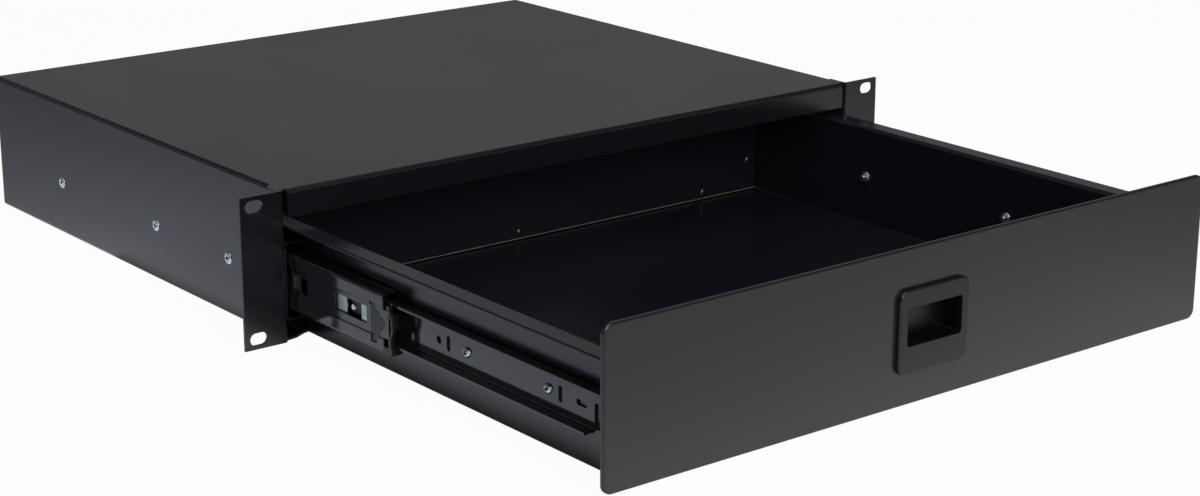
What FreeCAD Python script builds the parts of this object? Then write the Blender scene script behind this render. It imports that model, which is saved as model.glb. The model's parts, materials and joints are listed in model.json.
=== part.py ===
"""Two-unit rack drawer on three-part ball slides, as a parametric document.

Millimetres. +Z up, -Y towards the user, X across the rack. The origin is the middle of the ears'
bolt pattern, on the front face of the ears. The drawer stands part open: that is the rest pose.
"""
import FreeCAD, Part
import os
import re

import Sketcher

# Driving dimensions. Each is one cell of the sheet, under the same name.
SIZES = {
    # rack standard
    "rack_width": 482.6,           # over both ears
    "rack_height": 88.1,           # two units, less the gap to the next unit
    "bolt_inset": 8.75,            # from the ear's outer edge to the middle of its slots
    "bolt_pitch_up": 76.2,
    "bolt_slot_length": 11.0,
    "bolt_slot_width": 7.2,
    # folded case
    "ear_width": 26.6,             # each ear stands out of the case by this
    "case_depth": 361.5,
    "case_wall": 1.5,
    "bend_radius": 1.0,            # inside of every bend of the case and tray
    "lip_height": 16.0,            # rail folded down from the top plate
    "lip_end_gap": 2.2,            # from the rail's end to the side wall
    "corner_notch": 3.2,           # cut-away at the front corners of the top plate
    "relief_length": 15.0,         # the top isn't joined to the sides over this length
    "relief_gap": 0.4,
    "foot_flange": 20.0,           # bottom edge of each side, folded inwards
    "foot_mitre": 15.0,            # its front edge runs back in a curve over this width
    "foot_step": 9.0,
    "back_flange": 14.0,           # rear edge of each side, folded inwards
    "back_flange_gap": 3.0,
    # rear panel of the case
    "rear_wall": 1.2,
    "rear_fold": 12.0,
    "rear_side_gap": 0.6,
    # slides: a thickness is counted from the case wall towards the drawer
    "slide_thickness": 12.7,
    "slide_rise": 34.6,            # middle of the slide above the bottom of the case
    "slide_length": 350.0,
    "slide_setback": 2.0,
    "slide_steel": 1.2,
    "slide_bend": 0.8,
    "outer_half": 22.7,            # half height of the outer member
    "outer_reach": 12.0,
    "middle_half": 16.6,
    "middle_start": 2.3,
    "middle_steel": 1.0,
    "middle_reach": 11.2,
    "middle_length": 333.2,
    "swage_half": 7.8,             # half height of the pressed-in strip of the middle member
    "swage_depth": 0.6,
    "swage_slope": 0.9,
    "inner_half": 12.0,
    "inner_start": 5.0,
    "hole_play": 0.05,
    # travel
    "middle_out": 107.0,           # how far the middle members stand out of the case at rest
    "inner_out": 178.0,            # how far the drawer stands out of the middle members at rest
    "closed_gap": 0.5,
    "nose_gap": 5.5,               # between the front clip and the closed front panel
    # balls and their cages
    "outer_ball_radius": 2.75,
    "outer_ball_start": 6.2,
    "inner_ball_radius": 1.98,
    "inner_ball_start": 8.6,
    "race_play": 0.15,
    "cage_steel": 0.5,
    "cage_strip": 0.6,
    "cage_length": 150.0,
    "cage_margin": 10.0,
    "cage_opening": 14.2,
    "cage_opening_half": 5.4,
    "cage_opening_pitch": 47.0,
    "cage_first_opening": 14.5,
    "cage_edge": 1.3,
    "outer_cage_start": 1.5,
    "inner_cage_start": 4.2,
    "outer_cage_setback": 145.5,   # behind the middle member's front end
    "inner_cage_setback": 9.0,
    # plastic clip at the front of each middle member
    "clip_reach": 4.7,             # from the steel tongue to the front of the bow
    "clip_bow": 1.7,               # thickness of the bow
    "clip_sag": 2.0,               # the bow's ends lie back by this
    "clip_knob_radius": 1.6,
    "clip_plate": 0.4,
    "clip_plate_length": 14.6,
    "clip_gap": 0.35,
    "clip_nose": 4.4,              # steel tongue ahead of the member's shoulders
    "seat_length": 13.1,           # from the shoulders to the back of the clip's seat
    "clip_stop_length": 3.0,
    "clip_stop_depth": 3.2,
    "clip_stop_half": 4.0,
    # windows of the middle member
    "window_half": 4.9,
    "window_shift": 0.8,
    "front_window": 31.4,
    "front_window_at": 16.7,
    "second_window": 13.7,
    "second_window_at": 76.4,
    # travel stop riveted into the inner member
    "stop_depth": 5.0,
    "stop_half": 4.5,
    "stop_length": 40.0,
    "stop_gap": 0.4,
    "stop_rivet_at": 35.3,
    "stop_rivet_radius": 2.0,
    "stop_rivet_height": 0.9,
    # rubber bumper at the back of the outer member
    "bumper_length": 4.0,
    "bumper_half": 9.0,
    "bumper_depth": 8.0,
    # holes of the inner member, from the back of the front panel
    "inner_setback": 2.0,
    "notch_depth": 21.5,
    "notch_rise": 3.0,             # top of the notch above the slide's middle, at its back
    "notch_slope": 4.0,
    "inner_slot_width": 3.2,
    "inner_slot_length": 8.6,
    "front_slot_at": 33.5,
    "second_slot_at": 50.5,
    "third_slot_at": 145.5,
    "round_hole_at": 154.0,
    "round_hole_radius": 2.2,
    # drawer
    "tray_wall": 1.2,
    "tray_lift": 2.6,              # floor above the bottom of the case
    "tray_height": 64.7,
    "tray_flange": 11.7,
    "flange_round": 0.9,           # rolled upper edge of each flange
    "tray_corner_gap": 0.6,
    "tray_front_foot": 6.0,        # floor that the front wall is bent up from
    "rear_upstand": 16.0,
    "rear_tab": 14.0,
    "rear_gap": 1.0,
    "seam_gap": 0.5,               # between the back plate and the walls
    "front_wall_height": 60.0,
    "panel_overhang": 2.3,         # past each side of the case
    "panel_drop": 1.2,             # below the top of the case
    "panel_thickness": 2.5,
    "panel_lift": 1.4,
    "panel_corner": 5.5,
    "panel_round": 1.1,            # of its front edges
    # pull
    "pull_width": 51.0,
    "pull_height": 46.5,
    "pull_corner": 6.0,
    "pull_proud": 2.8,
    "pull_drop": 2.0,              # middle of the pull below the middle of the panel
    "pull_round": 1.1,
    "mouth_width": 40.0,
    "mouth_height": 21.0,
    "mouth_rise": 2.8,
    "mouth_corner": 2.0,
    "cup_depth": 15.0,
    "cup_wall": 1.6,
    "cup_undercut": 4.5,
    "cutout_play": 0.5,
    "snap_length": 12.0,
    "snap_reach": 1.4,
    "snap_height": 2.4,
    # fasteners
    "case_screw_radius": 1.9,
    "case_screw_head": 3.7,
    "case_screw_rise": 1.0,        # height of the low head
    "drawer_screw_radius": 1.45,
    "drawer_screw_head": 2.9,
    "drawer_screw_rise": 2.0,
    "screw_cross": 0.8,
    "screw_cross_span": 3.2,
    "screw_cross_depth": 0.9,
    "screw_end": 0.7,              # thread standing out of a nut
    "nut_radius": 3.18,            # over the corners
    "nut_height": 2.4,
    "nut_flange_radius": 3.65,
    "nut_flange": 0.7,
    "rivet_radius": 1.6,
    "rivet_head_radius": 2.5,
    "rivet_head_height": 0.9,
    "case_screw_first": 62.0,      # behind the ears
    "case_screw_second": 148.0,
    "case_screw_third": 272.0,
    "drawer_screw_first": 60.0,    # behind the front panel
    "drawer_screw_second": 128.5,
    "drawer_screw_third": 250.0,
    "stud_inset": 34.3,            # from the drawer's side walls
    "stud_up": 20.0,
    "back_rivet_inset": 46.3,      # from the drawer's side walls
    "back_rivet_rise": 6.4,
    "tab_rivet_inset": 7.0,
    "tab_rivet_rise": 22.5,
    "tab_rivet_pitch": 26.0,
    "rear_screw_inset": 8.5,
    "rear_screw_up": 27.0,
}
BALLS_PER_ROW = 5
CAGE_OPENINGS = 3
# Corners of the clip's seat: back from the shoulders in seat lengths, up from the slide's middle
# in strip half heights, and which way each corner moves, back and up, when the seat shrinks.
SEAT_CORNERS = (
    (1.00, 1.28, -1, -1), (0.58, 1.28, 1, -1), (0.61, 1.05, 1, 0), (0.66, 0.85, 1, -1),
    (0.30, 0.67, 1, -1), (0.31, 0.36, 1, -1), (0.07, 0.32, 1, -1), (-0.08, 0.15, 1, 0),
    (-0.08, -0.08, 1, 0), (0.05, -0.33, 1, 1), (0.27, -0.63, 1, 0), (0.30, -0.86, 1, 0),
    (0.44, -1.15, 1, 0), (0.50, -1.60, 1, 1), (0.93, -1.60, -1, 1), (0.93, 1.05, -1, 1),
    (1.00, 1.05, -1, 1))
# Half the height of the bow at four places, in strip half heights, and how far each lies back,
# in shares of the sag.
BOW_PLACES = ((0.15, 0.0), (0.46, 0.25), (0.9, 1.0), (1.1, 1.5))

# Sizes and places that follow from the driving ones.
RULES = {
    "base": "-rack_height / 2",
    "top": "rack_height / 2",
    "bolt_across": "rack_width / 2 - bolt_inset",
    "case_half": "rack_width / 2 - ear_width",
    "case_inside": "case_half - case_wall",
    "case_bend": "bend_radius + case_wall",
    "tray_bend": "bend_radius + tray_wall",
    "lip_half": "case_inside - lip_end_gap",
    "rear_front": "case_depth - case_wall - rear_wall",
    "drawer_out": "middle_out + inner_out",
    "panel_back": "-drawer_out - closed_gap",
    "panel_front": "panel_back - panel_thickness",
    "panel_half": "case_half + panel_overhang",
    "panel_low": "base + panel_lift",
    "panel_high": "top - panel_drop",
    "panel_mid": "(panel_low + panel_high) / 2",
    "slide_mid": "base + slide_rise",
    "slide_back": "slide_setback + slide_length",
    "outer_race": "(outer_half - slide_steel + middle_half) / 2",
    "inner_race": "(middle_half - slide_steel + inner_half) / 2",
    "outer_groove": "outer_ball_radius + race_play",
    "inner_groove": "inner_ball_radius + race_play",
    "clip_front": "panel_back + inner_out + nose_gap",
    "middle_tongue": "clip_front + clip_reach",
    "middle_front": "middle_tongue + clip_nose",
    "middle_back": "middle_front + middle_length",
    "middle_face": "middle_start + middle_steel + swage_depth",
    "clip_back": "middle_face + clip_plate",
    "inner_front": "panel_back + inner_setback",
    "inner_back": "inner_front + slide_length",
    "outer_cage_front": "middle_front + outer_cage_setback",
    "inner_cage_front": "middle_front + inner_cage_setback",
    "stop_front": "middle_tongue + clip_stop_length + stop_gap",
    "tray_half": "case_inside - slide_thickness",
    "tray_inside": "tray_half - tray_wall",
    "floor_low": "base + tray_lift",
    "floor_top": "floor_low + tray_wall",
    "wall_top": "floor_low + tray_height",
    "tray_back": "rear_front - rear_gap - drawer_out",
    "plate_front": "tray_back - 2 * tray_wall",
    "pull_mid": "panel_mid - pull_drop",
    "mouth_mid": "pull_mid + mouth_rise",
    "cup_half_width": "mouth_width / 2 + cup_wall",
    "cup_low": "mouth_mid - mouth_height / 2 - cup_wall",
    "cup_high": "mouth_mid + mouth_height / 2 + cup_undercut + cup_wall",
    "cup_back": "panel_front - pull_proud + cup_depth",
}

doc = FreeCAD.newDocument("RackDrawer")


def make_sheet():
    """Puts every driving dimension in a cell, with its name beside it and as its alias."""
    sheet = doc.addObject("Spreadsheet::Sheet", "Sizes")
    for row, (name, number) in enumerate(SIZES.items(), 1):
        sheet.set(f"A{row}", name)
        sheet.set(f"B{row}", str(number))
        sheet.setAlias(f"B{row}", name)
    doc.recompute()
    return sheet


sheet = make_sheet()


def full(rule):
    """Writes a rule out in the sheet's own names."""
    def swap(match):
        word = match.group()
        if word in SIZES:
            return "Sizes." + word
        if word in RULES:
            return "(" + full(RULES[word]) + ")"
        return word
    return re.sub(r"[a-z_]+", swap, str(rule))


def value(rule):
    """What a rule comes to now, for a sketch's first guess and for picking edges."""
    return float(sheet.evalExpression(full(rule)))


def bind(item, prop, rule):
    item.setExpression(prop, full(rule))


# Sketches and features -----------------------------------------------------------------------

def new_body(label):
    body = doc.addObject("PartDesign::Body", "Body")
    body.Label = label
    return body


def new_sketch(body, plane, offset):
    """A sketch on one of the body's own planes, moved along the plane's normal."""
    sketch = body.newObject("Sketcher::SketchObject", "Sketch")
    support = next(item for item in body.Origin.OriginFeatures if item.Role == plane)
    sketch.AttachmentSupport = [(support, "")]
    sketch.MapMode = "FlatFace"
    bind(sketch, "AttachmentOffset.Base.z", offset)
    return sketch


def pin(sketch, shape, point, across, up):
    """Fixes one point of a sketch by two rules, counted from the sketch's origin."""
    for kind, rule in (("DistanceX", across), ("DistanceY", up)):
        place = Sketcher.Constraint(kind, -1, 1, shape, point, value(rule))
        number = sketch.addConstraint(place)
        sketch.setExpression(f"Constraints[{number}]", full(rule))


def draw_outline(sketch, corners):
    """A closed outline of straight lines through the corners."""
    points = [FreeCAD.Vector(value(across), value(up), 0) for across, up in corners]
    first = sketch.GeometryCount
    count = len(points)
    for index, point in enumerate(points):
        sketch.addGeometry(Part.LineSegment(point, points[(index + 1) % count]))
    for index, (across, up) in enumerate(corners):
        following = first + (index + 1) % count
        sketch.addConstraint(Sketcher.Constraint("Coincident", first + index, 2, following, 1))
        pin(sketch, first + index, 1, across, up)


def draw_circle(sketch, across, up, radius):
    centre = FreeCAD.Vector(value(across), value(up), 0)
    shape = sketch.addGeometry(Part.Circle(centre, FreeCAD.Vector(0, 0, 1), value(radius)))
    pin(sketch, shape, 3, across, up)
    number = sketch.addConstraint(Sketcher.Constraint("Radius", shape, value(radius)))
    sketch.setExpression(f"Constraints[{number}]", full(radius))


def draw_slot(sketch, across, up, length, width, upright=False):
    """A slot with round ends, as two half circles joined by two tangent lines."""
    reach = f"(({length}) - ({width})) / 2"
    step = ("0", reach) if upright else (reach, "0")
    low = (f"({across}) - ({step[0]})", f"({up}) - ({step[1]})")
    high = (f"({across}) + ({step[0]})", f"({up}) + ({step[1]})")
    radius = value(width) / 2
    turn = 90 if upright else 0
    ends = []
    for (x_rule, y_rule), start in ((low, 90 + turn), (high, -90 + turn)):
        centre = FreeCAD.Vector(value(x_rule), value(y_rule), 0)
        circle = Part.Circle(centre, FreeCAD.Vector(0, 0, 1), radius)
        begin = start * 3.141592653589793 / 180
        ends.append(sketch.addGeometry(Part.ArcOfCircle(circle, begin, begin + 3.141592653589793)))
    arcs = [sketch.Geometry[end] for end in ends]
    lines = [sketch.addGeometry(Part.LineSegment(arcs[0].EndPoint, arcs[1].StartPoint)),
             sketch.addGeometry(Part.LineSegment(arcs[1].EndPoint, arcs[0].StartPoint))]
    joints = ((ends[0], 2, lines[0], 1), (lines[0], 2, ends[1], 1),
              (ends[1], 2, lines[1], 1), (lines[1], 2, ends[0], 1))
    for joint in joints:
        sketch.addConstraint(Sketcher.Constraint("Tangent", *joint))
    for end, (x_rule, y_rule) in zip(ends, (low, high)):
        pin(sketch, end, 3, x_rule, y_rule)
    number = sketch.addConstraint(Sketcher.Constraint("Radius", ends[0], radius))
    sketch.setExpression(f"Constraints[{number}]", full(f"({width}) / 2"))


def settle(body, feature):
    """Works a new feature out, and stops if it failed."""
    doc.recompute()
    if "Invalid" in feature.State or feature.Shape.isNull():
        raise RuntimeError(f"{body.Label}: {feature.Name} failed")
    return feature


# Each direction: the plane that faces along it, and whether its normal points the positive way.
PLANES = {"x": ("YZ_Plane", 1), "y": ("XZ_Plane", -1), "z": ("XY_Plane", 1)}


def grow(body, direction, low, high, draw):
    """Adds the drawn outline to the body, between two places along one direction."""
    plane, sign = PLANES[direction]
    sketch = new_sketch(body, plane, low if sign > 0 else f"-({high})")
    draw(sketch)
    doc.recompute()
    feature = body.newObject("PartDesign::Pad", "Pad")
    feature.Profile = sketch
    bind(feature, "Length", f"({high}) - ({low})")
    return settle(body, feature)


def cut(body, direction, low, high, draw):
    """Cuts the drawn outline out of the body, between two places along one direction."""
    before = body.Tip.Shape.Volume
    plane, sign = PLANES[direction]
    sketch = new_sketch(body, plane, high if sign > 0 else f"-({low})")
    draw(sketch)
    doc.recompute()
    feature = body.newObject("PartDesign::Pocket", "Pocket")
    feature.Profile = sketch
    bind(feature, "Length", f"({high}) - ({low})")
    settle(body, feature)
    if feature.Shape.Volume >= before:
        raise RuntimeError(f"{body.Label}: a pocket along {direction} cut nothing")
    return feature


def block(corner, opposite):
    """Draws a rectangle from one corner to the other."""
    (left, low), (right, high) = corner, opposite
    return lambda sketch: draw_outline(
        sketch, [(left, low), (right, low), (right, high), (left, high)])


def outline(*corners):
    return lambda sketch: draw_outline(sketch, corners)


def circles(places, radius):
    def draw(sketch):
        for across, up in places:
            draw_circle(sketch, across, up, radius)
    return draw


def slots(places, length, width, upright=False):
    def draw(sketch):
        for across, up in places:
            draw_slot(sketch, across, up, length, width, upright)
    return draw


def round_edges(body, radius, *places):
    """Fillets each edge whose ends share the given coordinates, as {"x": rule, "z": rule}."""
    base = body.Tip
    names = []
    for place in places:
        wanted = {axis: value(rule) for axis, rule in place.items()}
        for number, edge in enumerate(base.Shape.Edges, 1):
            gaps = [abs(getattr(vertex, axis.upper()) - target)
                    for vertex in edge.Vertexes for axis, target in wanted.items()]
            if max(gaps) < 1e-4:
                names.append(f"Edge{number}")
    if len(names) < len(places):
        raise RuntimeError(f"{body.Label}: an edge to round is missing")
    feature = body.newObject("PartDesign::Fillet", "Fillet")
    feature.Base = (base, names)
    bind(feature, "Radius", radius)
    return settle(body, feature)


# Primitives ----------------------------------------------------------------------------------

def place_at(item, across, along, up):
    for axis, rule in zip("xyz", (across, along, up)):
        bind(item, f"Placement.Base.{axis}", rule)


def solid_of(kind, sizes, turn, across, along, up):
    """A Part primitive with its sizes bound, its axis turned, and its base at a place."""
    item = doc.addObject(kind, "Piece")
    item.Placement = FreeCAD.Placement(FreeCAD.Vector(), turn)
    for prop, rule in sizes.items():
        bind(item, prop, rule)
    place_at(item, across, along, up)
    return item


def join(kind, pieces, label=None):
    item = doc.addObject(kind, "Group")
    if kind == "Part::Compound":
        item.Links = pieces
    else:
        item.Shapes = pieces
    if label:
        item.Label = label
    return item


def subtract(base, tool):
    item = doc.addObject("Part::Cut", "Cut")
    item.Base = base
    item.Tool = tool
    return item


# A fastener points along its shank, away from its head.
HEADINGS = {
    "+x": (FreeCAD.Rotation(FreeCAD.Vector(0, 1, 0), 90), (1, 0)),
    "-x": (FreeCAD.Rotation(FreeCAD.Vector(0, 1, 0), -90), (-1, 0)),
    "+y": (FreeCAD.Rotation(FreeCAD.Vector(1, 0, 0), -90), (0, 1)),
    "-y": (FreeCAD.Rotation(FreeCAD.Vector(1, 0, 0), 90), (0, -1)),
}


def stepped(heading, place, sections):
    """Coaxial cylinders and cones along a heading: (start, length, near radius, far radius)."""
    turn, (step_x, step_y) = HEADINGS[heading]
    across, along, up = place
    pieces = []
    for start, length, near, far in sections:
        spot = (f"({across}) + {step_x} * ({start})", f"({along}) + {step_y} * ({start})", up)
        if near == far:
            sizes = {"Radius": near, "Height": length}
            pieces.append(solid_of("Part::Cylinder", sizes, turn, *spot))
        else:
            sizes = {"Radius1": near, "Radius2": far, "Height": length}
            pieces.append(solid_of("Part::Cone", sizes, turn, *spot))
    return join("Part::MultiFuse", pieces)


def cross_recess(heading, place, rise):
    """The cross driven into a screw's head, sunk from the top of the head."""
    turn, (step_x, step_y) = HEADINGS[heading]
    across, along, up = place
    bars = []
    for span, wide in (("screw_cross_span", "screw_cross"), ("screw_cross", "screw_cross_span")):
        sizes = {"Length": "screw_cross_depth", "Width": span, "Height": wide}
        if step_y:
            sizes = {"Length": span, "Width": "screw_cross_depth", "Height": wide}
        low = f"-{rise}"
        if step_x + step_y < 0:
            low = f"{rise} - screw_cross_depth"
        spot_x = f"({across}) + ({low})" if step_x else f"({across}) - ({span}) / 2"
        spot_y = f"({along}) + ({low})" if step_y else f"({along}) - ({span}) / 2"
        spot = (spot_x, spot_y, f"({up}) - ({wide}) / 2")
        bars.append(solid_of("Part::Box", sizes, FreeCAD.Rotation(), *spot))
    return join("Part::MultiFuse", bars)


def cross_screw(name, heading, place, shank):
    """A screw of one of the two named kinds: its head at the place, its shank along the heading."""
    radius, head, rise = f"{name}_radius", f"{name}_head", f"{name}_rise"
    shape = stepped(heading, place, (
        (f"-{rise} * 0.5", f"{rise} * 0.5", head, head),
        (f"-{rise}", f"{rise} * 0.5", f"{head} * 0.7", head),
        ("0", shank, radius, radius)))
    return subtract(shape, cross_recess(heading, place, rise))


def dome_rivet(heading, place, shank, radius, head_radius, head_height):
    return stepped(heading, place, (
        (f"-({head_height}) * 0.5", f"({head_height}) * 0.5", head_radius, head_radius),
        (f"-({head_height})", f"({head_height}) * 0.5", f"({head_radius}) * 0.7", head_radius),
        ("0", shank, radius, radius)))


def flange_nut(heading, place):
    """A hexagon nut on its own washer face, with its bore, standing on the place."""
    turn = HEADINGS[heading][0]
    sizes = {"Circumradius": "nut_radius", "Height": "nut_height"}
    hexagon = solid_of("Part::Prism", sizes, turn, *place)
    hexagon.Polygon = 6
    washer = solid_of("Part::Cylinder", {"Radius": "nut_flange_radius", "Height": "nut_flange"},
                      turn, *place)
    bore = solid_of("Part::Cylinder", {"Radius": "drawer_screw_radius + hole_play",
                                       "Height": "nut_height"}, turn, *place)
    return subtract(join("Part::MultiFuse", [hexagon, washer]), bore)


# Case ----------------------------------------------------------------------------------------

def case_shell():
    """Top, sides, ears, rail and edge flanges, all folded from one sheet."""
    body = new_body("case_shell")
    inner_top = "top - case_wall"
    foot_top = "base + case_wall"
    foot_tip = "case_half - foot_flange"
    grow(body, "y", "relief_length", "case_depth", outline(
        (f"-({foot_tip})", "base"), ("-case_half", "base"), ("-case_half", "top"),
        ("case_half", "top"), ("case_half", "base"), (foot_tip, "base"), (foot_tip, foot_top),
        ("case_inside", foot_top), ("case_inside", inner_top), ("-case_inside", inner_top),
        ("-case_inside", foot_top), (f"-({foot_tip})", foot_top)))
    round_edges(body, "case_bend",
                {"x": "-case_half", "z": "top"}, {"x": "case_half", "z": "top"},
                {"x": "-case_half", "z": "base"}, {"x": "case_half", "z": "base"})
    round_edges(body, "bend_radius",
                {"x": "-case_inside", "z": inner_top}, {"x": "case_inside", "z": inner_top},
                {"x": "-case_inside", "z": foot_top}, {"x": "case_inside", "z": foot_top})
    grow(body, "z", inner_top, "top", block(
        ("-case_half", "corner_notch"), ("case_half", "relief_length")))
    grow(body, "x", "-lip_half", "lip_half", outline(
        ("0", "top"), ("corner_notch", "top"), ("corner_notch", inner_top),
        ("case_wall", inner_top), ("case_wall", "top - lip_height"), ("0", "top - lip_height")))
    round_edges(body, "case_bend", {"y": "0", "z": "top"})
    round_edges(body, "bend_radius", {"y": "case_wall", "z": inner_top})
    side_top = "top - case_wall - relief_gap"
    for hand in (-1, 1):
        wall, face = f"{hand} * case_inside", f"{hand} * case_half"
        ear_tip = f"{hand} * rack_width / 2"
        fold = "corner_notch - relief_gap"
        grow(body, "z", "base", "top", outline(
            (ear_tip, "0"), (wall, "0"), (wall, fold), (face, fold), (face, "case_wall"),
            (ear_tip, "case_wall")))
        round_edges(body, "case_bend", {"x": wall, "y": "0"})
        round_edges(body, "bend_radius", {"x": face, "y": "case_wall"})
        grow(body, "z", "base", side_top, block((wall, fold), (face, "relief_length")))
        tip = f"{hand} * ({foot_tip})"
        grow(body, "z", "base", foot_top, outline(
            (tip, "foot_step"), (f"{hand} * (case_inside - foot_mitre)", "foot_step * 0.9"),
            (f"{hand} * (case_inside - foot_mitre / 2)", "foot_step * 0.45"),
            (wall, "case_bend"), (wall, "relief_length + case_bend"),
            (tip, "relief_length + case_bend")))
        tip = f"{hand} * (case_half - back_flange)"
        grow(body, "z", "base + back_flange_gap", "top - back_flange_gap", block(
            (face, "case_depth"), (tip, "case_depth - case_wall")))
    half_across, half_up = "bolt_across", "bolt_pitch_up / 2"
    cut(body, "y", "-case_wall", "2 * case_wall", slots(
        [(f"{side} * {half_across}", f"{level} * {half_up}")
         for side in (-1, 1) for level in (-1, 1)],
        "bolt_slot_length", "bolt_slot_width"))
    screws = [("case_screw_first", "slide_mid"), ("case_screw_second", "slide_mid"),
              ("case_screw_third", "slide_mid")]
    cut(body, "x", "-rack_width", "rack_width", circles(screws, "case_screw_radius + hole_play"))
    cut(body, "y", "case_depth - 2 * case_wall", "case_depth + case_wall", circles(
        rear_screw_places(), "case_screw_radius + hole_play"))
    return body


def rear_screw_places():
    return [(f"{side} * (case_inside - rear_screw_inset)", f"{level} * rear_screw_up")
            for side in (-1, 1) for level in (-1, 1)]


def rear_panel():
    """Closes the back of the case from inside its rear flanges; its top edge is folded forwards."""
    body = new_body("rear_panel")
    high = "top - case_wall - rear_side_gap"
    half = "case_inside - rear_side_gap"
    grow(body, "x", f"-({half})", half, outline(
        ("rear_front - rear_fold", f"{high} - rear_wall"), ("rear_front", f"{high} - rear_wall"),
        ("rear_front", "base + case_wall + rear_side_gap"),
        ("rear_front + rear_wall", "base + case_wall + rear_side_gap"),
        ("rear_front + rear_wall", high), ("rear_front - rear_fold", high)))
    round_edges(body, "bend_radius + rear_wall", {"y": "rear_front + rear_wall", "z": high})
    round_edges(body, "bend_radius", {"y": "rear_front", "z": f"{high} - rear_wall"})
    cut(body, "y", "rear_front - rear_wall", "case_depth", circles(
        rear_screw_places(), "case_screw_radius + hole_play"))
    return body


def rear_panel_screws():
    shank = "case_wall + rear_wall + screw_end"
    return join("Part::Compound", [
        cross_screw("case_screw", "-y", (across, "case_depth", up), shank)
        for across, up in rear_screw_places()], "rear_panel_screws")


# Slides --------------------------------------------------------------------------------------

def slide_place(hand, depth):
    """The X of a thickness counted from the case wall towards the drawer."""
    return f"{hand} * (case_inside - ({depth}))"


def span(hand, near, far):
    """Two slide depths as the lower and the higher X."""
    places = (slide_place(hand, near), slide_place(hand, far))
    return places if hand < 0 else places[::-1]


def channel(body, hand, front, back, start, web, reach, half, steel):
    """A slide member's folded channel: a web and two flanges towards its open side."""
    near, far = slide_place(hand, start), slide_place(hand, f"({start}) + ({web})")
    tip = slide_place(hand, reach)
    low, high = f"slide_mid - {half}", f"slide_mid + {half}"
    grow(body, "y", front, back, outline(
        (near, low), (tip, low), (tip, f"{low} + {steel}"), (far, f"{low} + {steel}"),
        (far, f"{high} - {steel}"), (tip, f"{high} - {steel}"), (tip, high), (near, high)))
    round_edges(body, f"slide_bend + {steel}", {"x": near, "z": low}, {"x": near, "z": high})
    round_edges(body, "slide_bend", {"x": far, "z": f"{low} + {steel}"},
                {"x": far, "z": f"{high} - {steel}"})


def ball_grooves(body, hand, front, back, start, race, radius):
    """Rolls the two ball races into a member's flanges."""
    cut(body, "y", f"({front}) - 1", f"({back}) + 1", circles(
        [(slide_place(hand, start), f"slide_mid - {race}"),
         (slide_place(hand, start), f"slide_mid + {race}")], radius))


def outer_member(hand, side):
    body = new_body(f"outer_slide_{side}")
    channel(body, hand, "slide_setback", "slide_back", "0", "slide_steel", "outer_reach",
            "outer_half", "slide_steel")
    ball_grooves(body, hand, "slide_setback", "slide_back", "outer_ball_start", "outer_race",
                 "outer_groove")
    screws = [("case_screw_first", "slide_mid"), ("case_screw_second", "slide_mid"),
              ("case_screw_third", "slide_mid")]
    cut(body, "x", "-case_half", "case_half", circles(screws, "case_screw_radius + hole_play"))
    return body


def rear_bumper(hand, side):
    """Rubber block that the middle member meets when the drawer is shut."""
    body = new_body(f"rear_bumper_{side}")
    near, far = slide_place(hand, "slide_steel"), slide_place(hand, "bumper_depth")
    grow(body, "y", "slide_back - bumper_length", "slide_back", block(
        (near, "slide_mid - bumper_half"), (far, "slide_mid + bumper_half")))
    round_edges(body, "slide_steel", {"x": far, "z": "slide_mid - bumper_half"},
                {"x": far, "z": "slide_mid + bumper_half"})
    return body


def middle_member(hand, side):
    """Both races back to back, a pressed-in strip, two windows and the seat of the front clip."""
    body = new_body(f"middle_slide_{side}")
    near = slide_place(hand, "middle_start")
    sunk = slide_place(hand, "middle_start + swage_depth")
    inside = slide_place(hand, "middle_start + middle_steel")
    bulge = slide_place(hand, "middle_face")
    tip = slide_place(hand, "middle_reach")
    low, high = "slide_mid - middle_half", "slide_mid + middle_half"
    strip_low, strip_high = "slide_mid - swage_half", "slide_mid + swage_half"
    grow(body, "y", "middle_front", "middle_back", outline(
        (near, low), (tip, low), (tip, f"{low} + slide_steel"), (inside, f"{low} + slide_steel"),
        (inside, f"{strip_low} - swage_slope"), (bulge, strip_low), (bulge, strip_high),
        (inside, f"{strip_high} + swage_slope"), (inside, f"{high} - slide_steel"),
        (tip, f"{high} - slide_steel"), (tip, high), (near, high),
        (near, f"{strip_high} + swage_slope"), (sunk, strip_high), (sunk, strip_low),
        (near, f"{strip_low} - swage_slope")))
    round_edges(body, "slide_bend + middle_steel", {"x": near, "z": low}, {"x": near, "z": high})
    round_edges(body, "slide_bend", {"x": inside, "z": f"{low} + slide_steel"},
                {"x": inside, "z": f"{high} - slide_steel"})
    ball_grooves(body, hand, "middle_front", "middle_back", "outer_ball_start", "outer_race",
                 "outer_groove")
    ball_grooves(body, hand, "middle_front", "middle_back", "inner_ball_start", "inner_race",
                 "inner_groove")
    grow(body, "y", "middle_tongue", "middle_front", block(
        (sunk, strip_low), (bulge, strip_high)))
    window_low = "slide_mid + window_shift - window_half"
    window_high = "slide_mid + window_shift + window_half"
    for start, length in (("front_window_at", "front_window"),
                          ("second_window_at", "second_window")):
        cut(body, "x", "-case_half", "case_half", block(
            (f"middle_front + {start}", window_low),
            (f"middle_front + {start} + {length}", window_high)))
    cut(body, "x", "-case_half", "case_half", clip_seat("0"))
    return body


def clip_seat(gap):
    """The waisted opening that the clip snaps into, drawn smaller by a gap."""
    def draw(sketch):
        draw_outline(sketch, [
            (f"middle_front + {back} * seat_length + {lean} * {gap}",
             f"slide_mid + {up} * swage_half + {rise} * {gap}")
            for back, up, lean, rise in SEAT_CORNERS])
    return draw


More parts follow.
